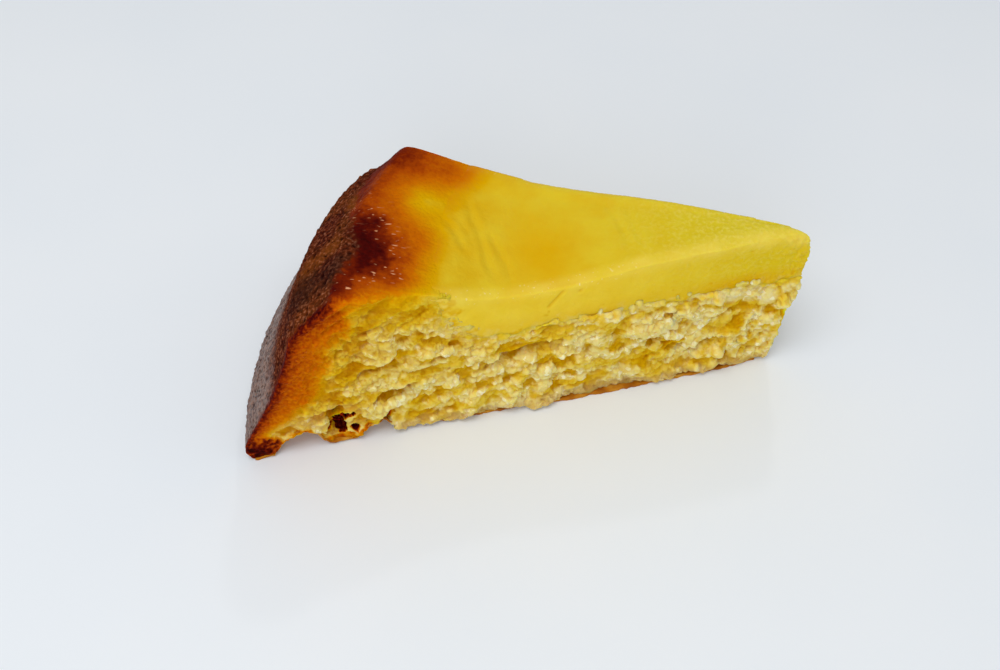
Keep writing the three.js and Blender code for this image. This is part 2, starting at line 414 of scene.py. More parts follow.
# How brown the top is: by distance from the crest of the rim, and in patches. Each patch has its middle
# from the wedge's point, its half lengths, the change that it makes, and how sharp its edge is.
BROWNING_BY_CREST = ([-34, -22, -18, -13, -8, -3, 0, 4], [0, 0.06, 0.16, 0.31, 0.44, 0.54, 0.61, 0.74])
BROWN_PATCHES = [
    ((-98.2, -8.8), (6.3, 10.4), 0.33, 0.5),
    ((-96.0, -14.5), (4.5, 4.5), 0.06, 0.2),
    ((-93.5, -8.0), (7.0, 12.0), 0.08, 0.0),
    ((-90.0, 21.0), (9.0, 5.0), 0.12, 0.0),
    ((-86.5, 6.5), (5.0, 6.0), -0.19, 0.0),
    ((-86.0, -9.0), (6.0, 8.5), 0.2, 0.2),
    ((-92.0, -18.0), (7.0, 5.0), 0.17, 0.0),
    ((-80.0, 16.0), (8.0, 4.0), 0.2, 0.0),
    ((-103.0, -23.0), (4.0, 4.0), 0.2, 0.2),
]
NEAR_EDGE_FADE = {"change": -0.06, "reach": 3.0}  # along the edge of the rough cut face it is paler


def browning(points, past_crest):
    """How brown the top is at points, from 0 to 1."""
    brown = np.interp(past_crest, *BROWNING_BY_CREST)
    brown += 0.1 * noise(points, 5.0) * smooth_step(past_crest, -24, -12)
    brown += 0.06 * noise(points, 1.8, 7.7) * smooth_step(past_crest, -18, -8)
    shown = smooth_step(past_crest, -26, -14)
    warp = 0.3 * noise(points, 3.5, 5.8) + 0.15 * noise(points, 1.4, 1.6)
    for middle, half, change, sharp in BROWN_PATCHES:
        off = plan_distance(points, middle, half) + warp
        patch = (1 - sharp) * bell(off) + sharp * (1 - smooth_step(off, 0.55, 1.15))
        brown += change * shown * patch
    edge = (1 - smooth_step(cut_distance(points), 0, NEAR_EDGE_FADE["reach"])) * (wedge(points)[1] < 0)
    brown += NEAR_EDGE_FADE["change"] * edge * (1 - smooth_step(past_crest, -9, -2)) * shown
    return np.clip(brown, 0, 1)


def crest_distance(points):
    """How far points of the top lie past the crest of the rim, less than 0 inside it."""
    r, t = wedge(points)
    return r - np.interp(t, ACROSS, CREST_R)


def closed_shell(name, lower, upper):
    """A closed skin between two grids of points."""
    columns, rows = lower.shape[:2]
    faces = grid_faces(columns, rows)
    count = columns * rows
    index = np.arange(count).reshape(columns, rows)
    rim = np.concatenate([index[:, 0], index[-1, 1:], index[-2::-1, -1], index[0, -2:0:-1]])
    after = np.roll(rim, -1)
    edge = np.stack([rim, rim + count, after + count, after], -1)
    faces = np.vstack([faces, faces[:, ::-1] + count, edge])[:, ::-1]
    return mesh_object(name, np.vstack([lower.reshape(-1, 3), upper.reshape(-1, 3)]), faces)


# Wrinkles of the top: a line from one plan point to another, from the wedge's point, and the crease's depth.
WRINKLES = [
    ((-78.0, 12.0), (-70.0, -16.5), 0.24),
    ((-82.0, 4.0), (-76.0, -8.5), 0.2),
    ((-73.0, 3.0), (-66.0, -16.5), 0.2),
    ((-46.0, 10.0), (-40.5, -8.0), 0.16),
    ((-42.5, 9.0), (-37.5, -7.0), 0.14),
]
WRINKLE_WIDTH = 0.75
WRINKLE_LIP = {"at": 1.5, "share": 0.5}


def top_relief(points):
    """Height of the wrinkles and of the slight unevenness of the top at points."""
    flat = points * (1, 1, 0)
    plan = points[:, :2] - POINT[:2]
    relief = 0.14 * noise(flat, 6.0, 3.3) + 0.08 * noise(flat, 2.6, 5.1) + 0.06 * noise(flat, 1.2, 1.1)
    for start, end, depth in WRINKLES:
        along, length = np.array(end) - np.array(start), math.dist(start, end)
        share = (plan - start) @ along / length ** 2
        aside = (plan - start) @ np.array([-along[1], along[0]]) / length
        aside += 2.5 * (share - 0.5) ** 2 + 1.3 * noise(flat, 7.0, start[0])
        fade = smooth_step(share, 0, 0.3) * (1 - smooth_step(share, 0.7, 1))
        crease = bell(aside / WRINKLE_WIDTH)
        lips = bell((np.abs(aside) - WRINKLE_LIP["at"]) / WRINKLE_WIDTH)
        relief += depth * fade * (WRINKLE_LIP["share"] * lips - crease)
    return relief


# The ring swells at the corner of the other cut face.
CORNER_SWELL = {"middle": (-90.5, 22.5), "half": 7.0, "height": 0.9}

# Where the rim turns dry and mottled: just past the crest, with a tongue that reaches further in.
DRY_EDGE = {"past": 1.4, "far": 7.0, "tongue": 5.0, "at": -0.45, "wide": 0.28}

# Places of the dry rim that are charred, or left amber, with their middles from the wedge's point and their
# half lengths.
CHARRED = [((-104.2, -17.0), (4.6, 6.5)), ((-111.0, -18.0), (5.0, 7.0))]
AMBER = [((-105.8, -8.0), (3.2, 4.5)), ((-110.0, -10.0), (4.0, 4.0)), ((-101.0, 8.0), (3.0, 5.0))]


def spots(place, shapes):
    """From 1 in the middle of any of the shapes to 0 outside them, with ragged edges."""
    warp = 0.35 * noise(place, 3.0, 2.2) + 0.35 * noise(place, 1.2, 7.6)
    off = np.min([plan_distance(place, middle, half) for middle, half in shapes], axis=0)
    return 1 - smooth_step(off + warp, 0.4, 1.2)


def rim_looks(place, past):
    """What the rim is like at places on it: how brown, dry and pitted, where glints are painted, and the
    height of its relief.
    """
    _, t = wedge(place)
    tongue = DRY_EDGE["tongue"] * bell((t - DRY_EDGE["at"]) / DRY_EDGE["wide"])
    ragged = 1.8 * noise(place, 4.0, 3.1) + 2.2 * noise(place, 1.4, 2.9)
    start = DRY_EDGE["past"] + DRY_EDGE["far"] * smooth_step(t, -0.1, 0.9)
    dry = smooth_step(past - start + tongue + ragged, -1.0, 1.2)
    brown = browning(place, np.where(past < 0, crest_distance(place), past))
    pits = smooth_step(noise(place, 1.2, 5.5), 0.1, 0.42) * dry
    burnt = smooth_step(brown, 0.6, 0.9) * (1 - dry)
    relief = top_relief(place) * (1 - smooth_step(past, -6, 0))
    relief += 0.16 * noise(place, 7.0, 1.3) * smooth_step(past, -16, -4)
    relief += dry * (0.3 * noise(place, 2.4, 4.2) + 0.46 * noise(place, 1.0, 8.4)) - 0.4 * pits
    relief += burnt * 0.26 * noise(place, 1.1, 2.2)
    swell = bell(plan_distance(place, CORNER_SWELL["middle"], CORNER_SWELL["half"]))
    relief += CORNER_SWELL["height"] * swell * (1 - smooth_step(past, 2, 8))
    relief += FAR_EDGE_LIFT * smooth_step(t, 0.6, 1.0) * (1 - smooth_step(past, -2, 5))
    # Glints are painted about the edge of the burnt patch, off the dry crust, on the near half.
    painted_glint_share = smooth_step(brown, 0.5, 0.62) * (1 - smooth_step(brown, 0.74, 0.9))
    painted_glint_share *= (1 - dry) * (1 - smooth_step(t, 0.1, 0.4))
    return brown, dry, pits, painted_glint_share, relief


# Crumb

rng = np.random.default_rng(SEED)
custard_surface = BVHTree.FromPolygons(custard_corners.tolist(), custard_triangles.tolist())
crumb_surface = BVHTree.FromPolygons(crumb_corners.tolist(), crumb_triangles.tolist())

BIG_LUMP = 4.0  # lumps larger than this are smooth and pale, and lie deeper in the crumb
LUMP_SUNK = {"big": 0.3, "small": 0.1}
CUT_CLEARANCE = 20.0

# Grains that cling in clusters along the seam between custard and crumb, more of them at the custard's end.
SEAM_CLUSTERS = {"along": 13, "at_end": 9, "end": 15.0}
SEAM_GRAINS = {"each": 6, "spread": (1.5, 0.6), "below": 0.5, "size": (0.9, 2.1), "sunk": 0.2}
SEAM_REACH = 5.0  # further from the custard the crumb shows nothing of it
SEAM_FADE = 2.6


def set_in_cut(grains):
    """Places and sizes of grains, given as (r, height, size, share sunk in), on the rough cut face."""
    inward = -cut_normal(-1)
    found = []
    for r, z, size, sunk in grains:
        start = POINT + r * rim_axes(-1)[0] - CUT_CLEARANCE * inward
        hit = solid_surface.ray_cast(Vector((start[0], start[1], z)), Vector(inward))[0]
        if hit is not None:
            found.append((np.array(hit) + sunk * size * inward, size))
    return np.array([place for place, _ in found]), np.array([size for _, size in found])


LUMPS = set_in_cut([
    (r, z, size, LUMP_SUNK["big" if size > BIG_LUMP else "small"]) for r, z, size in SINGLE_LUMPS
])


def seam_grains():
    """Places and sizes of the grains along the custard's lower edge and its end on the rough cut face."""
    r, t = wedge(custard_corners)
    face = (cut_distance(custard_corners) < 1.2) & (t < 0)
    r, z = r[face], custard_corners[face, 2]
    line = np.stack(by_column(r, z, np.min), -1)
    line = line[line[:, 0] > 8]
    top = z[np.round(r) > np.round(r).max() - 3].max()
    line = np.vstack([line, [line[-1, 0], top - 1.0]])
    length = length_along(line)
    at_end = length[-1] - SEAM_CLUSTERS["end"]
    middles = np.concatenate([
        rng.uniform(0, at_end, SEAM_CLUSTERS["along"]),
        rng.uniform(at_end, length[-1], SEAM_CLUSTERS["at_end"]),
    ])
    at = np.repeat(middles, SEAM_GRAINS["each"])
    at += rng.normal(0, SEAM_GRAINS["spread"][0], len(at))
    aside = rng.normal(0, SEAM_GRAINS["spread"][1], (2, len(at)))
    size = rng.uniform(*SEAM_GRAINS["size"], len(at))
    across, up = (np.interp(at, length, line[:, k]) + aside[k] for k in (0, 1))
    up -= SEAM_GRAINS["below"] * (at < at_end)
    return set_in_cut(zip(across, up, size, [SEAM_GRAINS["sunk"]] * len(at)))


def on_grains(points, grains, edge):
    """From 1 in the middle of any of the grains to 0 at edge times its size from there."""
    on = np.zeros(len(points))
    for place, size in zip(*grains):
        off = np.linalg.norm(points - place, axis=1) / size
        on = np.maximum(on, 1 - smooth_step(off, 0.4, edge))
    return on


def torn_face_points(per_mm2):
    """Random points on the torn faces of the crumb and at its nose."""
    a, b, c = (crumb_corners[crumb_triangles[:, k]] for k in range(3))
    cross = np.cross(b - a, c - a)
    size = np.linalg.norm(cross, axis=1)
    normal = cross / np.maximum(size, 1e-9)[:, None]
    r, t = wedge((a + b + c) / 3)
    facing = np.where(t < 0, normal @ cut_normal(-1), normal @ cut_normal(1))
    torn = (np.abs(t) > 0.86) & (facing > 0.25)
    nose = (r < 14) & (np.abs(normal[:, 2]) < 0.75)
    weight = np.where(torn | nose, size / 2, 0)
    count = int(weight.sum() * per_mm2)
    chosen = rng.choice(len(weight), count, p=weight / weight.sum())
    u, v = rng.random((2, count))
    over = u + v > 1
    u, v = np.where(over, 1 - u, u), np.where(over, 1 - v, v)
    return a[chosen] + u[:, None] * (b - a)[chosen] + v[:, None] * (c - a)[chosen]


def hole_depth(points, spare=0.0):
    """How deep in the torn hole points of the rough cut face lie, from 0 outside to 1."""
    r, t = wedge(points)
    wobble = 0.6 * noise(points, 1.2, 3.9)
    deep = np.zeros(len(points))
    for start, end, reach in HOLE_LINES:
        off = line_distance(r, points[:, 2], start, end) + wobble - spare
        deep = np.maximum(deep, 1 - smooth_step(off, reach - 0.5, reach + 0.4))
    return deep * (t < -0.5)


def clumped(points):
    """How far grains at points belong to a clump, from 0 in the gaps to 1."""
    stretched = points * (CLUMPS["stretch"], CLUMPS["stretch"], 1)
    cluster = noise(stretched, CLUMPS["size"], 9.1) + 0.5 * noise(stretched, CLUMPS["size"] / 2.3, 3.3)
    cluster -= CLUMPS["by_depth"] * (cut_distance(points) - np.median(cut_distance(points)))
    inside = smooth_step(cluster, CLUMPS["gaps"] - 0.15, CLUMPS["gaps"] + 0.15)
    for place, size in zip(*LUMPS):
        inside = np.maximum(inside, np.linalg.norm(points - place, axis=1) < 0.55 * size)
    return inside


def packed_grains(points):
    """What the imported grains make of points: share in a clump, height on the grain, how far up its dome, the
    grain's chance, and how near the points are to the torn faces."""
    seeds = torn_face_points(GRAINS["per_mm2"])
    tree = KDTree(len(seeds))
    for k, seed in enumerate(seeds):
        tree.insert(Vector(seed), k)
    tree.balance()
    bent = points.copy()
    for axis in range(3):
        bent[:, axis] += 0.9 * noise(points, 1.8, 11.3 + axis) + 0.55 * noise(points, 0.8, 17.7 + axis)
    nearest = [tree.find_n(Vector(p), 6) for p in bent]
    grain = np.array([[hit[1] for hit in hits] for hits in nearest])
    plain = np.array([[hit[2] for hit in hits] for hits in nearest])
    size = GRAINS["spread"] * rng.random(len(seeds)) ** 2
    away = plain - size[grain]
    order = np.argsort(away, axis=1)[:, :3]
    grain, away = (np.take_along_axis(values, order, 1) for values in (grain, away))
    weight = np.exp((away[:, :1] - away) / GRAINS["blend"])
    weight /= weight.sum(1)[:, None]
    inside, height, rise, chance = (
        (weight * values[grain]).sum(1)
        for values in (
            clumped(seeds),
            rng.uniform(*GRAINS["height"], len(seeds)) + 0.25 * size,
            rng.uniform(*GRAINS["rise"], len(seeds)),
            0.65 * rng.random(len(seeds)) + 0.35 * size / GRAINS["spread"],
        )
    )
    dome = 1 - np.exp((away[:, 0] - away[:, 1]) / GRAINS["round"])
    return inside, rise + height * dome, dome, chance, 1 - smooth_step(plain[:, 0], 1.8, 3.4)


def grain_arrays(points, size):
    """Corners and triangles of grains at points: balls with flat, broken sides."""
    ball = bmesh.new()
    bmesh.ops.create_icosphere(ball, subdivisions=2, radius=0.5)
    shape = np.array([v.co for v in ball.verts])
    faces = np.array([[v.index for v in f.verts] for f in ball.faces])
    ball.free()
    count = len(points)
    grains = shape * rng.uniform(0.75, 1.3, (count, 1, 3))
    for _ in range(BROKEN_SIDES["count"]):
        side = rng.normal(size=(count, 3))
        side /= np.linalg.norm(side, axis=1)[:, None]
        reach = rng.uniform(*BROKEN_SIDES["reach"], (count, 1))
        over = np.maximum(np.einsum("nij,nj->ni", grains, side) - reach, 0)
        grains -= over[..., None] * side[:, None]
    grain_faces = faces + np.arange(count)[:, None, None] * len(shape)
    return (grains * size[:, None, None] + points[:, None]).reshape(-1, 3), grain_faces.reshape(-1, 3)


def custard_closeness(points):
    """From 1 where points touch the custard to 0 a few millimetres from it."""
    away = [custard_surface.find_nearest(Vector(p), SEAM_REACH)[3] for p in points]
    return bell(np.array([SEAM_REACH if d is None else d for d in away]) / SEAM_FADE)


def fused_crumb(clinging):
    """The crumb's core with its lumps and clinging grains fused on."""
    corners, faces = [crumb_corners], [crumb_triangles]
    for points, size in (LUMPS, clinging):
        more_corners, more_faces = grain_arrays(points, size)
        faces.append(more_faces + sum(map(len, corners)))
        corners.append(more_corners)
    crumb = mesh_object("curd_crumb", np.vstack(corners), np.vstack(faces))
    remesh(crumb, CRUMB_VOXEL)
    triangles = sum(len(p.vertices) - 2 for p in crumb.data.polygons)
    if triangles > CRUMB_TRIANGLES:
        apply_modifier(crumb, "DECIMATE", ratio=CRUMB_TRIANGLES / triangles)
    return crumb


BROWNING_INTO_CRUMB = ([0, 0.06, 0.13, 0.5, 0.78, 1], [1, 0.82, 0.62, 0.5, 0.24, 0])
FOOT_BURN = {"r": 128.5, "wide": 9.0, "high": 8.0}
CRACK_WIDTH = 0.5


def crumb_browning(corners, ends, where, rim_brown, dry):
    """How brown the crumb is: inwards from the rim, at the burnt foot of the wall, in a tan line along the
    arched foot of the rough cut face, and in its crack."""
    r, t, from_cut, to_rim = where
    z = corners[:, 2]
    start = rim_brown + dry * (0.92 - rim_brown)
    reach = 6.5 + dry * (8.0 * smooth_step(z, 6, 20) - 1.5)
    reach *= 1 + 0.5 * noise(corners, 4.0, 5.2)
    brown = start * np.interp(to_rim / reach, *BROWNING_INTO_CRUMB)
    brown = smoothed(brown[:, None], ends, 50)[:, 0]
    foot = np.hypot((r - FOOT_BURN["r"]) / FOOT_BURN["wide"], (z - 1) / FOOT_BURN["high"])
    burn = (1 - smooth_step(foot, 0.6, 1.1)) * (t < 0.5)
    burn *= 0.8 + 0.6 * noise(corners, 2.2, 1.9) + 0.4 * noise(corners, 0.9, 3)
    by_cut = (from_cut < 1.5) & (t < 0)
    above = z - np.interp(r, *by_column(r[by_cut], z[by_cut], np.min))
    tan = (0.42 + 0.4 * noise(corners, 1.8, 7.4)) * smooth_step(r, 97, 104) * (t < 0)
    tan *= 1 - smooth_step(above + 1.4 * noise(corners, 1.4, 2.6), 1.0, 2.8)
    crack = bell(line_distance(r, z, *CRACK) / CRACK_WIDTH) * (t < 0)
    return np.max([brown, burn, tan, 0.75 * crack], axis=0)


LEVEL_AT_END = 0.25  # how far behind the cut plane the crumb lies where the custard ends
LOWEST = 0.12  # no crumb comes nearer to the floor, where the under skin lies


def make_crumb():
    """The crumb: a core with lumps and grains fused on, torn at the cuts and drawn smooth over the rim."""
    clinging = seam_grains()
    crumb = fused_crumb(clinging)
    corners, normals = corners_of(crumb)
    ends = edge_ends(crumb)
    place, outward, past, _ = rim_hits(corners)
    rim_brown, dry, pits, painted_glint_share, relief = rim_looks(place, past)
    to_rim = np.linalg.norm(corners - place, axis=1)
    from_cut = cut_distance(corners)
    r, t = wedge(corners)

    # The rim is drawn smooth, and the crumb is brought level with the cut where the custard ends.
    facing = smooth_step(np.einsum("ij,ij->i", normals, outward), 0.15, 0.55)
    tear = np.where(t < 0, 0.5 + 0.8 * smooth_step(r, 92, 97), 0.15)
    edge = smooth_step(r, 88, 97) * (t < 0)
    whole = smooth_step(from_cut + tear * noise(corners, 2.2, 6.7), -0.3 + 0.7 * edge, 0.6 + 1.3 * edge)
    on_rim = facing * whole * (1 - smooth_step(to_rim, 1.6, 2.6))
    corners += on_rim[:, None] * (place + relief[:, None] * outward - corners)
    edge_lift = smooth_step(t, 0.6, 1.0) * (1 - smooth_step(to_rim, 1, 3)) * (1 - smooth_step(past, -2, 5))
    corners[:, 2] += FAR_EDGE_LIFT * edge_lift * (1 - on_rim)
    by_custard = custard_closeness(corners)
    level = np.minimum(1.9 * by_custard, 1) * smooth_step(r, 70, 76) * (t < -0.5)
    level *= smooth_step(normals @ cut_normal(-1), 0.3, 0.8)
    corners += (level * (cut_distance(corners) - LEVEL_AT_END))[:, None] * cut_normal(-1)

    # Grains stand out of the torn faces, lower by the rim, the custard, the foot and the hole.
    inside, height, dome, chance, on_face = packed_grains(corners)
    baked = smooth_step(to_rim, 3.0, 11.0)
    torn = (1 - on_rim) * smooth_step(to_rim, 0.2, 1.0)
    hole, by_hole = hole_depth(corners), hole_depth(corners, 0.25)
    r, t = wedge(corners)
    rich = noise(corners * (0.5, 0.5, 1), 4.5, 8.2) + 0.6 * noise(corners, 1.8, 4.6)
    lump = on_grains(corners, [values[LUMPS[1] > BIG_LUMP] for values in LUMPS], 0.72)
    rich = np.maximum(smooth_step(rich, -0.22, 0.1), lump)
    by_seam = by_custard > 0.15
    cling = np.zeros(len(corners))
    cling[by_seam] = on_grains(corners[by_seam], clinging, 0.75)
    low = smooth_step(r, 90, 95) * (1 - smooth_step(corners[:, 2], 6, 10))
    strength = (0.25 + 0.75 * baked) * (1 - 0.6 * by_custard) * smooth_step(corners[:, 2], 0.1, 1.3) * on_face
    strength *= (0.45 + 0.55 * rich) * (1 - 0.6 * lump)
    strength *= (1 - 0.2 * low) * (1 - hole) * (1 - smooth_step(-normals[:, 2], 0.2, 0.7))
    rough = strength * (inside * (CLUMPS["rise"] + height) - (1 - inside) * CLUMPS["drop"])
    rough += 0.25 * noise(corners, 2.4, 2.7) + 0.3 * noise(corners, 0.8, 6.1)
    seam = on_face * by_custard * (1 - 0.7 * smooth_step(r, 72, 80))
    rough += seam * (0.6 * noise(corners, 3.0, 5.9) + 0.5 * noise(corners, 1.3, 1.2))
    rough += (1 - baked) * (0.2 * noise(corners, 0.9, 1.4) + 0.15 * noise(corners, 2.0, 4.1))
    corners += normals * (torn * rough - HOLE_DEPTH * hole)[:, None]
    corners[:, 2] = np.maximum(corners[:, 2], LOWEST)
    move_corners(crumb, corners)

    # What the material reads: golden in the hollows, and deeper gold the deeper and more creased they
    # lie, which is painted shade; pale on the grains; browned towards the rim.
    near = smoothed(corners, ends, 12)
    wide = smoothed(near, ends, 90)
    fine_hollow = np.einsum("ij,ij->i", near - corners, normals)
    broad_hollow = np.einsum("ij,ij->i", wide - near, normals)
    crease = (1 - smooth_step(dome, 0, 0.35)) * on_face
    # The gold that creases and depth below the smoothed surface add is painted shade; the gold of the gaps
    # between clumps is their own colour.
    hollow_gold_and_shade = 0.15 + 0.3 * (1 - inside) + 0.16 * (1 - rich) + 0.15 * crease
    hollow_gold_and_shade += 0.3 * fine_hollow + 0.4 * broad_hollow
    rimward = smooth_step(r, 90, 104)
    hollow_gold_and_shade = np.clip(hollow_gold_and_shade + (0.15 + 0.27 * rimward) * (1 - smooth_step(to_rim, 9, 32)), 0, 1)
    brown = crumb_browning(corners, ends, (r, t, from_cut, to_rim), rim_brown, dry)
    # Inside the torn hole the crumb is painted dark maroon: painted shade in the hole, over a browned crust.
    brown = np.maximum(brown, 0.86 * smooth_step(by_hole, 0.2, 0.5))
    brown += on_rim * (rim_brown - brown)
    # Grains are less pale in their creases: painted shade.
    pale = inside * (0.4 + 0.6 * chance) * (1 - 0.5 * crease) * (0.06 + 0.94 * rich)
    pale = np.maximum(pale, np.maximum(0.9 * lump, (0.2 + 0.45 * chance) * cling))
    pale *= smooth_step(to_rim, 2.0, 9.0) * (1 - (0.45 + 0.45 * rimward) * (1 - smooth_step(to_rim, 8, 34)))
    by_foot = smooth_step(r, 93, 99) * (1 - smooth_step(corners[:, 2], 9, 15)) * smooth_step(to_rim, 2, 7)
    pale = np.maximum(pale, by_foot * inside * (0.1 + 0.5 * chance))
    run_down = by_custard + 0.9 * noise(corners, 2.2, 6.4) + 0.5 * noise(corners, 0.9, 2.3)
    run_down = smooth_step(run_down, 0.45, 0.85) * smooth_step(by_custard, 0.05, 0.3)
    run_down *= (1 - np.maximum(0.8 * lump, 0.85 * cling)) * (1 - on_rim) * smooth_step(to_rim, 2, 6)
    # Greyer tan near the floor: partly browning from the tin, partly painted shade under the crumbs at the
    # foot.
    foot_toast_and_shade = 1 - smooth_step(corners[:, 2] + 2.4 * noise(corners, 2.8, 3.8), 1.0, 4.4)
    soft = np.maximum(smooth_step(to_rim, 1.0, 4.0), 0.8 * (1 - smooth_step(from_cut, 0.6, 1.8)))
    soft *= np.where(t > 0, smooth_step(np.abs(r - NOSE_SPLIT), 0.5, 3.0), 1)
    # Low on the wall the crust gets a coat, and a grey sheen painted into its colour as a painted reflection.
    coat_and_painted_sheen = smooth_step(past + 3 * noise(corners, 5.0, 2.8), 28, 38)
    coat_and_painted_sheen *= 1 - 0.6 * smooth_step(corners[:, 2], 14, 30)
    skin = {
        "dry": dry, "pits": pits, "rim": 1 - dry, "coat_and_painted_sheen": coat_and_painted_sheen, "painted_glint_share": painted_glint_share,
        "charred": spots(place, CHARRED), "amber": spots(place, AMBER),
    }
    return crumb_pieces(crumb, to_rim, {
        "browning": np.clip(brown, 0, 1), "hollow_gold_and_shade": hollow_gold_and_shade, "seam": run_down, "pale": pale, "soft": soft,
        "foot_toast_and_shade": foot_toast_and_shade, **{name: values * on_rim for name, values in skin.items()},
    })


NOSE_SPLIT = 16.0  # up to this r the nose belongs to the near piece
CORE_SPLIT = 6.0  # what lies so far from the cuts, below the custard and on the underside, is the core
RIM_SPLIT = {"from_cut": 2.2, "deep": 2.4}  # so far from the cuts, and no deeper, it is the rim's piece


def crumb_pieces(crumb, to_rim, fields):
    """The crumb as four pieces: the rough cut face with the nose, the other face, the core and the rim."""
    triangles = triangles_of(crumb)
    corners, _ = corners_of(crumb)
    middles = corners[triangles].mean(1)
    r, t = wedge(middles)
    from_cut = cut_distance(middles)
    rim = (from_cut > RIM_SPLIT["from_cut"]) & (to_rim[triangles].mean(1) < RIM_SPLIT["deep"])
    core = (from_cut > CORE_SPLIT) & (r > NOSE_SPLIT) & ~rim
    near = ((t < 0) | (r < NOSE_SPLIT)) & ~rim & ~core
    shares = {
        "curd_crumb_near": near,
        "curd_crumb_far": ~near & ~rim & ~core,
        "curd_crumb_core": core,
        "browned_rim": rim,
    }
    pieces = []
    for name, chosen in shares.items():
        used, faces = np.unique(triangles[chosen], return_inverse=True)
        piece = mesh_object(name, corners[used], faces.reshape(-1, 3))
        paint(piece, {field: values[used] for field, values in fields.items()})
        pieces.append(piece)
    mesh = crumb.data
    bpy.data.objects.remove(crumb)
    bpy.data.meshes.remove(mesh)
    return pieces


# Custard

# A slit and short marks of the custard's rough cut face, as (r, height).
SLIT = ((58.0, 36.6), (61.0, 32.6))
SLIT_WIDTH = 0.4
MARKS = [(15.0, 38.0), (54.0, 36.0)]
MARK_HALF = (0.5, 0.35)

# Places of the custard that are warmer: in plan from the wedge's point, and low on the cut near the nose.
WARM_SPOT = {"middle": (-61.0, -6.0), "half": (8.0, 11.0), "share": 0.8}
WARM_NOSE = {"r": 16.0, "half": 7.0}
CRUMB_SEARCH = 6.0  # further from the crumb the custard shows nothing of it


def custard_body():
    """The custard as one smooth, even mesh, a little larger below and behind so that no gap shows."""
    corners = custard_corners.copy()
    r, _ = wedge(corners)
    piece = mesh_object("set_custard", corners, custard_triangles)
    _, normals = corners_of(piece)
    corners[:, 2] -= CUSTARD_OVERLAP * (normals[:, 2] < -0.3)
    over_ring = CUSTARD_OVER_RING["reach"] * smooth_step(cut_distance(corners), 2.5, 7.0)
    corners[:, 0] -= (CUSTARD_OVERLAP + over_ring) * ((normals[:, 0] < -0.3) & (r > 70))
    move_corners(piece, corners)
    remesh(piece, CUSTARD_VOXEL)
    corners, _ = corners_of(piece)
    move_corners(piece, smoothed(corners, edge_ends(piece), CUSTARD_SMOOTHING))
    return piece


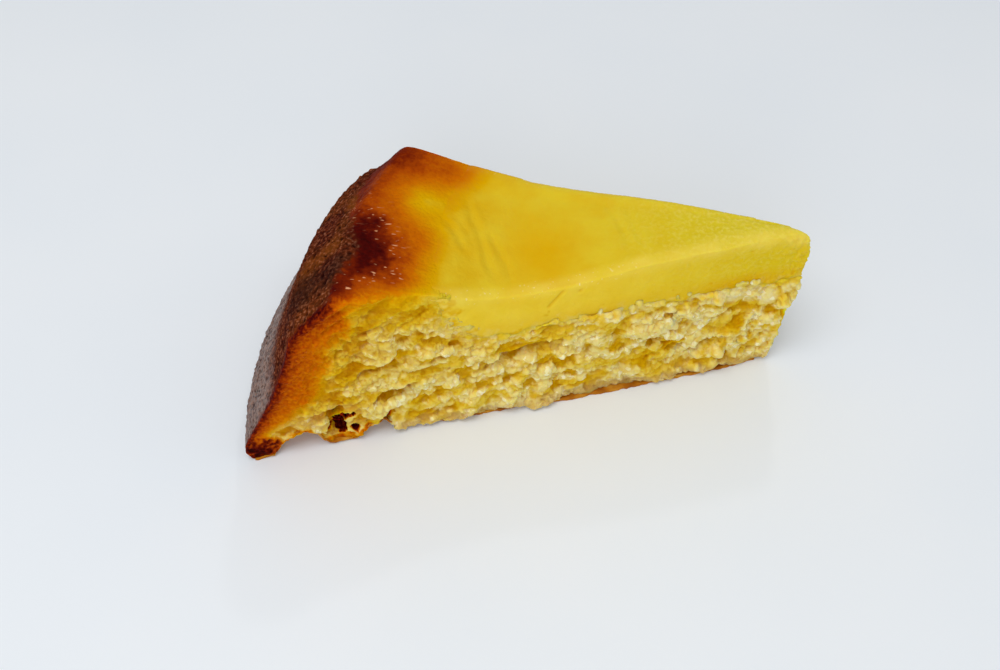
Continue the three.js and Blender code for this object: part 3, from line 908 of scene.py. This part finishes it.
def make_custard():
    """The smooth custard, flat at the cuts and feathered out over the ring, with its wrinkles and slit."""
    piece = custard_body()
    corners, normals = corners_of(piece)
    beyond = np.array([custard_surface.find_nearest(Vector(p))[3] for p in corners])
    r, t = wedge(corners)
    for side in (-1, 1):
        squared = smooth_step(normals @ cut_normal(side), 0.55, 0.9) * (t * side > 0.5) * (r > 14)
        corners += (squared * cut_distance(corners))[:, None] * cut_normal(side)
    lift = FAR_EDGE_LIFT * smooth_step(t, 0.6, 1.0)
    corners[:, 2] += lift * smooth_step(normals[:, 2], 0.2, 0.7)

    # Its cut face is worn back at its end and below, and its top thins out on the ring.
    end = between_cuts(CUSTARD_END, t)
    from_cut = cut_distance(corners)
    ragged = 2.5 * noise(corners, 2.5, 4.9) + 4.0 * noise(corners, 1.1, 3.2)
    worn = smooth_step(r - end + ragged, *CUSTARD_WORN["over"])
    worn *= CUSTARD_WORN["deep"] * (1 - smooth_step(from_cut, 1.0, 4.0)) * (t < 0)
    below = smooth_step(beyond, 0.2, 2.0) * (1 - smooth_step(from_cut, 0.6, 2.0))
    worn = np.maximum(worn, CUSTARD_WORN["below"] * below * (1 - smooth_step(normals[:, 2], 0.0, 0.3)))
    to_crumb = [crumb_surface.find_nearest(Vector(p), CRUMB_SEARCH)[3] for p in corners]
    to_crumb = np.array([away or CRUMB_SEARCH for away in to_crumb])
    corners -= worn[:, None] * np.where(t[:, None] < 0, cut_normal(-1), cut_normal(1))
    from_cut = cut_distance(corners)
    place, outward, _, from_start = rim_hits(corners)
    flat = smooth_step(np.einsum("ij,ij->i", normals, outward), 0.5, 0.85) * smooth_step(from_start, 0.5, 6.0)
    flat *= np.where(t < 0, smooth_step(from_cut, 0.4, 2.4), smooth_step(from_cut, -0.6, 0.4))
    dip = CUSTARD_OVER_RING["dip"] * smooth_step(r - end + 2 * noise(corners, 4.0, 8.8), -1.0, 7.0)
    corners += flat[:, None] * (place + (CUSTARD_OVER_RING["rise"] - dip + lift)[:, None] * outward - corners)

    # Relief of the top and of the cut face.
    z = corners[:, 2]
    top = smooth_step(normals[:, 2], 0.35, 0.8)
    cut = (1 - top) * (np.abs(normals[:, 2]) < 0.8)
    slit = bell(line_distance(r, z, *SLIT) / SLIT_WIDTH)
    for mark in MARKS:
        off = np.linalg.norm((np.stack([r, z], -1) - mark) / MARK_HALF, axis=1)
        slit = np.maximum(slit, bell(off))
    slit *= (t < 0) * cut
    move = top * top_relief(corners) - 0.3 * slit
    move += cut * (0.16 * noise(corners, 4.0, 6.6) + 0.07 * noise(corners, 1.3, 4.4))
    torn = 0.4 * noise(corners, 1.5, 7.1) + 0.35 * noise(corners, 0.8, 2.5)
    move += cut * torn * (1 - smooth_step(r, 4, 10))
    move_corners(piece, corners + normals * move[:, None])

    # What the material reads: a highlight painted along the top edge of the cuts, with painted sparkles
    # on it, pale flecks, warm places and pools, the browning of the top.
    # The painted highlight: a paler band down from the top edge of the cuts, wider towards the nose and mostly
    # on the rough cut face.
    wide = 3.2 + 2.4 * (1 - smooth_step(r, 20, 50))
    edge = smooth_step(from_edge(corners) / wide, 1.0, 0.1)
    edge *= 1 - smooth_step(top_line(corners) - z, 0.5, 4.5)
    edge *= (0.6 + 0.7 * noise(corners, 5.0, 6.3)) * (1 - 0.8 * smooth_step(t, 0.0, 0.6))
    warm = WARM_SPOT["share"] * bell(plan_distance(corners, WARM_SPOT["middle"], WARM_SPOT["half"])) * top
    by_nose = bell((r - WARM_NOSE["r"]) / WARM_NOSE["half"])
    warm = np.maximum(warm, cut * (1 - smooth_step(z, 27.5, 33.0)) * (0.4 + 0.8 * by_nose))
    flecks = 1.1 * noise(corners, 1.8, 2.1) + 0.6 * noise(corners, 0.8, 3.7) - 0.2 * to_crumb
    pale = smooth_step(flecks, -0.3, 0.5) * cut
    pools = noise(corners, 2.6, 9.7) + 0.4 * noise(corners, 1.0, 6.2) - 0.12 * to_crumb
    ending = noise(corners, 2.0, 3.6) + 0.5 * noise(corners, 0.9, 5.3) - 0.14 * (end - r)
    pools = np.maximum(smooth_step(pools, -0.05, 0.2), smooth_step(ending, -0.5, 0.1) * (t < 0))
    warm = np.maximum(warm, 0.9 * cut * pools * (1 - pale))
    paint(piece, {
        "browning": browning(corners, crest_distance(corners)) * top, "cut": cut, "edge": edge, "pale": pale,
        "warm": np.clip(warm + 0.6 * slit, 0, 1), "painted_sparkle_share": edge * smooth_step(r, 36, 54),
        "tip": 1 - smooth_step(r, 8, 55), "soft": 1 - smooth_step(r - end, -14, -6),
    })
    return piece


def from_edge(points):
    """How far points lie inside the cut faces, or past the nose's start."""
    return np.minimum(cut_distance(points), np.maximum(wedge(points)[0] - 3, 0))


def top_line(points):
    """Height of the top along the cuts, beside points."""
    r, t = wedge(points)
    by_edge = np.abs(t) > 0.9
    return np.interp(r, *by_column(r[by_edge], points[by_edge, 2], np.max))


# Underside

UNDER_DROP = 0.1  # how far it lies below the crumb
UNDER_THICKNESS = 0.5
UNDER_COLUMNS = 101
UNDER_ROWS = 190
UNDER_START = 9.5  # where it starts behind the nose
UNDER_INSET = 0.6  # how far it stays behind the foot of the wall
UNDER_PEEK = 0.8  # how much further out its edge lies in the middle of the slice
UNDER_SAFE = 0.9  # nearer to the cuts the crags would be in the way
UNDER_STEP = 2  # columns over which the slope is taken that carries the arches on to the cuts


def make_under_skin():
    """The thin baked skin under the crumb, which shows as a browned edge along the foot of the cuts."""
    across = np.linspace(-1.0, 1.0, UNDER_COLUMNS)
    share = np.linspace(0.0, 1.0, UNDER_ROWS)[:, None]
    skin = np.zeros((UNDER_COLUMNS, UNDER_ROWS, 3))
    inner = np.flatnonzero(np.abs(across) <= UNDER_SAFE)
    for c, t in enumerate(across):
        out, _ = rim_axes(t)
        foot = RIM[int((t + 1) / 2 * (len(RIM) - 1)), -1]
        far = np.hypot(*(foot - POINT)[:2]) - UNDER_INSET
        skin[c] = POINT + out * (UNDER_START + share * (far - UNDER_START))
        if c in inner:
            hits = [crumb_surface.ray_cast(Vector((x, y, -5.0)), Vector((0, 0, 1)))[0] for x, y, _ in skin[c]]
            skin[c, :, 2] = [hit[2] if hit is not None else 0.0 for hit in hits]
    first, last = inner[0], inner[-1]
    for edge, step, outer in (
        (first, UNDER_STEP, range(first)),
        (last, -UNDER_STEP, range(last + 1, UNDER_COLUMNS)),
    ):
        slope = (skin[edge + step, :, 2] - skin[edge, :, 2]) / (across[edge + step] - across[edge])
        arched = smooth_step(np.linalg.norm(skin[edge, :, :2] - POINT[:2], axis=1), 80, 88)
        for c in outer:
            skin[c, :, 2] = arched * (skin[edge, :, 2] + slope * (across[c] - across[edge]))
    flat = skin.reshape(-1, 3)
    ragged = (0.5 * noise(flat, 3.0, 2.4) + 0.4 * noise(flat, 1.2, 7.3)).reshape(skin.shape[:2])
    r = np.linalg.norm(skin[..., :2] - POINT[:2], axis=2)
    ragged += UNDER_PEEK * smooth_step(r, 10, 16) * (1 - smooth_step(r, 58, 66))
    by_cut = smooth_step(np.abs(across), 0.96, 1.0)[:, None] * ragged
    skin += by_cut[..., None] * np.array([cut_normal(np.sign(t)) for t in across])[:, None]
    skin[..., 2] = np.maximum(skin[..., 2] - UNDER_DROP, 0.0)
    return closed_shell("under_skin", skin, skin + UNDER_THICKNESS * UP)


# Materials

BROWNING_COLOURS = [
    (0.0, "#E0C42C"),
    (0.14, "#D9A600"),
    (0.3, "#D28600"),
    (0.45, "#C76800"),
    (0.6, "#A84402"),
    (0.74, "#762003"),
    (0.87, "#4C0704"),
    (1.0, "#2A0203"),
]


def add_node(tree, kind, inputs=(), stops=(), **settings):
    """Adds a shader node with its settings, its colour stops, and its values, hex colours or links, and gives
    its outputs."""
    node = tree.nodes.new("ShaderNode" + kind)
    for name, value in settings.items():
        setattr(node, name, value)
    for socket, value in dict(inputs).items():
        if isinstance(value, bpy.types.NodeSocket):
            tree.links.new(value, node.inputs[socket])
        else:
            node.inputs[socket].default_value = linear(value) if isinstance(value, str) else value
    for k, (place, colour) in enumerate(stops):
        ramp = node.color_ramp.elements
        stop = ramp[k] if k < 2 else ramp.new(place)
        stop.position = place
        stop.color = linear(colour)
    return node.outputs


def per_metre(size):
    """Scale of a pattern whose cells are size millimetres across."""
    return 1 / (size * MM)


def blank_material(name, *patterns):
    """A new material, its node tree, the place on the piece, and noises of (millimetres, detail)."""
    material = bpy.data.materials.new(name)
    material.use_nodes = True
    tree = material.node_tree
    tree.nodes.clear()
    place = add_node(tree, "TexCoord")["Object"]
    noises = []
    for size, detail in patterns:
        scaled = {"Vector": place, "Scale": per_metre(size), "Detail": detail}
        noises.append(add_node(tree, "TexNoise", scaled)["Fac"])
    return material, tree, place, noises


def painted(tree, *names):
    """The painted fields of those names, as outputs to link."""
    return {name: add_node(tree, "Attribute", attribute_name=name)["Fac"] for name in names}


def laid_over(tree, colour, layers):
    """A colour with others laid over it in turn, each as (where it lies, its strength, the colour)."""
    for where, strength, over in layers:
        share = add_node(tree, "Math", {0: where, 1: strength}, operation="MULTIPLY")[0]
        colour = add_node(tree, "Mix", {0: share, 6: colour, 7: over}, data_type="RGBA")[2]
    return colour


def surfaced(material, inputs):
    """The material with one surface of those inputs."""
    tree = material.node_tree
    surface = add_node(tree, "BsdfPrincipled", inputs)["BSDF"]
    add_node(tree, "OutputMaterial", {"Surface": surface})
    return material


def painted_glints(tree, place, painted_glint_share, stretch):
    """Painted glints: how far short, light streaks are laid over the colour where damp, uneven skin would
    catch the light. The streaks are drawn 0.6 mm wide, coarser than real ones, so that they show."""
    drawn = add_node(tree, "Mapping", {
        "Vector": place, "Rotation": (0, 0, 0.5), "Scale": (1 / stretch, 1.0, 1.0),
    })["Vector"]
    dots = add_node(tree, "TexNoise", {"Vector": drawn, "Scale": per_metre(0.6), "Detail": 0.0})["Fac"]
    streaks = add_node(tree, "MapRange", {"Value": dots, "From Min": 0.71, "From Max": 0.8})["Result"]
    return add_node(tree, "Math", {0: streaks, 1: painted_glint_share}, operation="MULTIPLY")[0]


def baked_custard():
    """Baked egg custard: smooth, damp and a little see-through, so its colour is deep and its edges glow,
    with a satin gloss broken by pores on the top and a milkier, matter face where it was cut. Along the
    top edge of the cuts a highlight and sparkles are painted in. The pores are drawn 0.9 mm wide, coarser
    than real ones, so that they show."""
    material, tree, place, (cloud, pores) = blank_material("baked_custard", (7.0, 3.0), (0.9, 2.0))
    field = painted(tree, "browning", "cut", "warm", "tip", "edge", "painted_sparkle_share", "pale", "soft")
    drift = add_node(tree, "Math", {0: cloud, 1: 0.2, 2: -0.08}, operation="MULTIPLY_ADD")[0]
    golden = add_node(tree, "Math", {0: field["browning"], 1: drift}, operation="ADD")[0]
    top = add_node(tree, "ValToRGB", {"Fac": golden}, BROWNING_COLOURS)["Color"]
    face = add_node(tree, "ValToRGB", {"Fac": cloud}, [(0.3, "#EBC72C"), (0.7, "#F0D240")])["Color"]
    flour = add_node(tree, "MapRange", {"Value": pores, "From Min": 0.45, "From Max": 0.75})["Result"]
    fewer = add_node(tree, "MapRange", {"Value": field["cut"], "To Min": 1.0, "To Max": 0.5})["Result"]
    dry = add_node(tree, "Math", {0: field["tip"], 1: fewer}, operation="MULTIPLY")[0]
    colour = laid_over(tree, top, [
        (field["tip"], 1.0, "#D6C224"),
        (field["cut"], 1.0, laid_over(tree, face, [(field["tip"], 1.0, "#DFC11C")])),
        (add_node(tree, "Math", {0: flour, 1: dry}, operation="MULTIPLY")[0], 0.6, "#EBDC70"),
        (field["warm"], 1.0, "#DFAC00"),
        (field["pale"], 0.4, "#E8D27A"),
        # painted highlight along the top edge of the cuts
        (field["edge"], 0.8, "#EFD85E"),
        # painted sparkles along that edge
        (painted_glints(tree, place, field["painted_sparkle_share"], 1.0), 1.0, "#FBF3CC"),
    ])
    grainy = add_node(tree, "MapRange", {"Value": field["tip"], "To Min": 0.35, "To Max": 0.95})["Result"]
    bump = add_node(tree, "Bump", {"Height": pores, "Strength": grainy, "Distance": 0.35 * MM})["Normal"]
    body = add_node(tree, "Math", {0: field["soft"], 1: 0.6}, operation="MULTIPLY")[0]
    return surfaced(material, {
        "Base Color": colour, "Roughness": 0.3, "Normal": bump, "IOR": 1.4, "Specular IOR Level": 0.03,
        "Specular Tint": "#FFF0C8", "Subsurface Weight": body, "Subsurface Radius": (1.0, 0.75, 0.2),
        "Subsurface Scale": 2.0 * MM,
    })


def baked_curd():
    """Baked curd with semolina: pale, damp grains in a golden crumb that is a little see-through, deeper
    gold in its hollows, partly as painted shade. Towards the rim it browns: caramelised and glossy on the
    ring, where glints are painted on; dry, pitted and mottled on the wall, with a dull shine and a grey
    sheen painted on low down. The semolina's grit is drawn 0.8 to 1 mm wide, coarser than it is, so that
    it shows."""
    patterns = (3.0, 3.0), (0.8, 4.0), (9.0, 3.0)
    material, tree, place, (cloud, grit, broad) = blank_material("baked_curd", *patterns)
    field = painted(
        tree, "browning", "hollow_gold_and_shade", "pale", "seam", "soft", "foot_toast_and_shade",
        "dry", "pits", "rim", "coat_and_painted_sheen", "painted_glint_share", "charred", "amber",
    )

    # Grains, from gold in the hollows to pale, with single bright ones; the deeper gold of the deepest
    # places is painted shade.
    shift = add_node(tree, "Math", {0: cloud, 1: 0.4, 2: -0.2}, operation="MULTIPLY_ADD")[0]
    depth = add_node(tree, "Math", {0: field["hollow_gold_and_shade"], 1: shift}, operation="ADD")[0]
    gold = add_node(tree, "ValToRGB", {"Fac": depth}, [
        (0.1, "#E3C444"), (0.36, "#DCB41A"), (0.6, "#D2A204"), (1.0, "#BE7E00"),
    ])["Color"]
    fine = add_node(tree, "TexVoronoi", {"Vector": place, "Scale": per_metre(1.0)})
    chance = add_node(tree, "SeparateColor", {"Color": fine["Color"]})["Red"]
    spread = add_node(tree, "Math", {0: chance, 1: 0.5, 2: 0.7}, operation="MULTIPLY_ADD")[0]
    paler = add_node(tree, "Math", {0: field["pale"], 1: spread}, operation="MULTIPLY", use_clamp=True)[0]
    chosen = add_node(tree, "MapRange", {"Value": chance, "From Min": 0.86, "From Max": 0.92})["Result"]
    bright = add_node(tree, "Math", {0: chosen, 1: field["pale"]}, operation="MULTIPLY")[0]
    grain = laid_over(tree, gold, [
        (paler, 1.0, "#EADC9C"),
        (bright, 1.0, "#F8EEC4"),
        (field["seam"], 0.8, "#E4C02A"),
        # tan near the floor, partly painted shade
        (field["foot_toast_and_shade"], 0.8, "#C09A58"),
    ])

    # Browning, uneven in the crumb and calmer on the ring.
    off = add_node(tree, "Math", {0: grit, 1: -0.5}, operation="ADD")[0]
    toast = add_node(tree, "Math", {0: off, 1: field["browning"]}, operation="MULTIPLY")[0]
    calm = add_node(tree, "MapRange", {"Value": field["rim"], "To Min": 0.9, "To Max": 0.25})["Result"]
    brown = add_node(tree, "Math", {0: toast, 1: calm, 2: field["browning"]}, operation="MULTIPLY_ADD")[0]
    baked = add_node(tree, "ValToRGB", {"Fac": brown}, BROWNING_COLOURS)["Color"]
    share = add_node(tree, "MapRange", {"Value": brown, "From Min": 0.02, "From Max": 0.3})["Result"]
    whole = add_node(tree, "Math", {0: share, 1: field["rim"]}, operation="MAXIMUM")[0]

    # The dry crust of the wall, mottled and pitted, with a grey sheen painted on low down as a painted
    # reflection, broken by dark speckles.
    mottle = add_node(tree, "ValToRGB", {"Fac": grit}, [
        (0.34, "#1E0504"), (0.45, "#46150A"), (0.56, "#6C2E17"), (0.68, "#A0644A"),
    ])["Color"]
    tan = add_node(tree, "ValToRGB", {"Fac": broad}, [(0.45, "#5A2412"), (0.7, "#8E4E1A")])["Color"]
    crust = laid_over(tree, mottle, [
        (0.25, 1.0, tan),
        (field["amber"], 0.3, "#9A5412"),
        (field["charred"], 0.6, "#241410"),
        (field["pits"], 1.0, "#240605"),
    ])
    sheen_speckle = add_node(tree, "MapRange", {
        "Value": grit, "From Min": 0.38, "From Max": 0.52, "To Max": 0.45,
    })["Result"]
    painted_sheen = add_node(tree, "Math", {0: sheen_speckle, 1: field["coat_and_painted_sheen"]}, operation="MULTIPLY")[0]
    colour = laid_over(tree, grain, [
        (whole, 1.0, baked),
        (field["dry"], 1.0, crust),
        # painted reflection: a grey sheen low on the wall
        (painted_sheen, 1.0, "#9C8C80"),
        # painted glints on the ring
        (painted_glints(tree, place, field["painted_glint_share"], 2.4), 1.0, "#DC9C70"),
    ])

    gloss = add_node(tree, "MapRange", {"Value": field["dry"], "To Min": 0.65, "To Max": 0.85})["Result"]
    knobs = add_node(tree, "Math", {0: fine["Distance"], 1: -0.7, 2: grit}, operation="MULTIPLY_ADD")[0]
    bump = add_node(tree, "Bump", {"Height": knobs, "Strength": 0.7, "Distance": 0.3 * MM})["Normal"]
    sheen = add_node(tree, "Math", {0: field["coat_and_painted_sheen"], 1: 0.7}, operation="MULTIPLY")[0]
    body = add_node(tree, "Math", {0: field["soft"], 1: 0.95}, operation="MULTIPLY")[0]
    return surfaced(material, {
        "Base Color": colour, "Roughness": gloss, "Normal": bump, "IOR": 1.4, "Specular IOR Level": 0.03,
        "Specular Tint": "#FFF0C8", "Coat Weight": sheen, "Coat Roughness": 0.3, "Coat Normal": bump,
        "Subsurface Weight": body, "Subsurface Radius": (1.0, 0.85, 0.4), "Subsurface Scale": 2.1 * MM,
    })


def toasted_skin():
    """Thin baked skin from the bottom of the tin: browned orange-brown, dry and matte, with paler specks."""
    material, tree, _, (cloud, fine) = blank_material("toasted_skin", (4.0, 4.0), (0.7, 3.0))
    colour = add_node(tree, "ValToRGB", {"Fac": cloud}, [
        (0.3, "#94500A"), (0.5, "#B87210"), (0.65, "#CC9430"), (0.8, "#E0BE78"),
    ])["Color"]
    bump = add_node(tree, "Bump", {"Height": fine, "Strength": 0.4, "Distance": 0.15 * MM})["Normal"]
    return surfaced(material, {
        "Base Color": colour, "Roughness": 0.6, "Normal": bump, "Specular IOR Level": 0.1,
    })


def pale_board():
    """Plain matte studio board, off-white, that only takes the slice's soft shadow."""
    material, tree, _, (tone,) = blank_material("pale_board", (60.0, 2.0))
    colour = add_node(tree, "ValToRGB", {"Fac": tone}, [(0.3, "#EBF1F7"), (0.7, "#EEF3F8")])["Color"]
    return surfaced(material, {"Base Color": colour, "Roughness": 0.6})


# Stage

FLOOR = {"half": 1500.0, "height": -0.05}


def make_floor():
    square = ((-1, -1), (1, -1), (1, 1), (-1, 1))
    corners = np.array([(x * FLOOR["half"], y * FLOOR["half"], FLOOR["height"]) for x, y in square])
    floor = mesh_object("floor", corners, np.array([[0, 1, 2, 3]]))
    floor.data.materials.append(pale_board())


# Lights: each soft one has its name, place, size and power.
SKY_STRENGTH = 0.46
LIGHT_AIM = Vector((0, 0, 20))
LIGHTS = [
    ("back_window", (200, 640, 700), 60, 0.4),
    ("overhead", (-200, -300, 900), 600, 3.7),
    ("front_fill", (-100, -750, 450), 500, 1.4),
]


def make_lights():
    world = bpy.data.worlds.new("studio")
    world.use_nodes = True
    background = world.node_tree.nodes["Background"].inputs
    background["Color"].default_value = linear("#FFFFFF")
    background["Strength"].default_value = SKY_STRENGTH
    bpy.context.scene.world = world
    for name, place, size, power in LIGHTS:
        lamp = bpy.data.lights.new(name, "AREA")
        lamp.shape = "DISK"
        lamp.size = size * MM
        lamp.energy = power
        light = bpy.data.objects.new(name, lamp)
        light.location = Vector(place) * MM
        light.rotation_euler = (LIGHT_AIM - Vector(place)).to_track_quat("-Z", "Y").to_euler()
        bpy.context.scene.collection.objects.link(light)


def make_camera():
    lens = bpy.data.cameras.new("camera")
    lens.lens = CAMERA_LENS
    lens.clip_start = 0.01
    camera = bpy.data.objects.new("camera", lens)
    flat = math.cos(CAMERA_ELEVATION)
    back = Vector((
        math.sin(CAMERA_AZIMUTH) * flat,
        -math.cos(CAMERA_AZIMUTH) * flat,
        math.sin(CAMERA_ELEVATION),
    ))
    camera.location = (Vector(CAMERA_TARGET) + CAMERA_DISTANCE * back) * MM
    camera.rotation_euler = (-back).to_track_quat("-Z", "Y").to_euler()
    bpy.context.scene.collection.objects.link(camera)
    bpy.context.scene.camera = camera


make_camera()
make_lights()
make_floor()
bpy.context.scene.view_settings.view_transform = "Standard"

curd = baked_curd()
for crumb in make_crumb():
    crumb.data.materials.append(curd)
    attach(crumb, "root")
    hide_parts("crumb")

custard = make_custard()
custard.data.materials.append(baked_custard())
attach(custard, "root")
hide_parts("custard")

under_skin = make_under_skin()
under_skin.data.materials.append(toasted_skin())
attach(under_skin, "root")
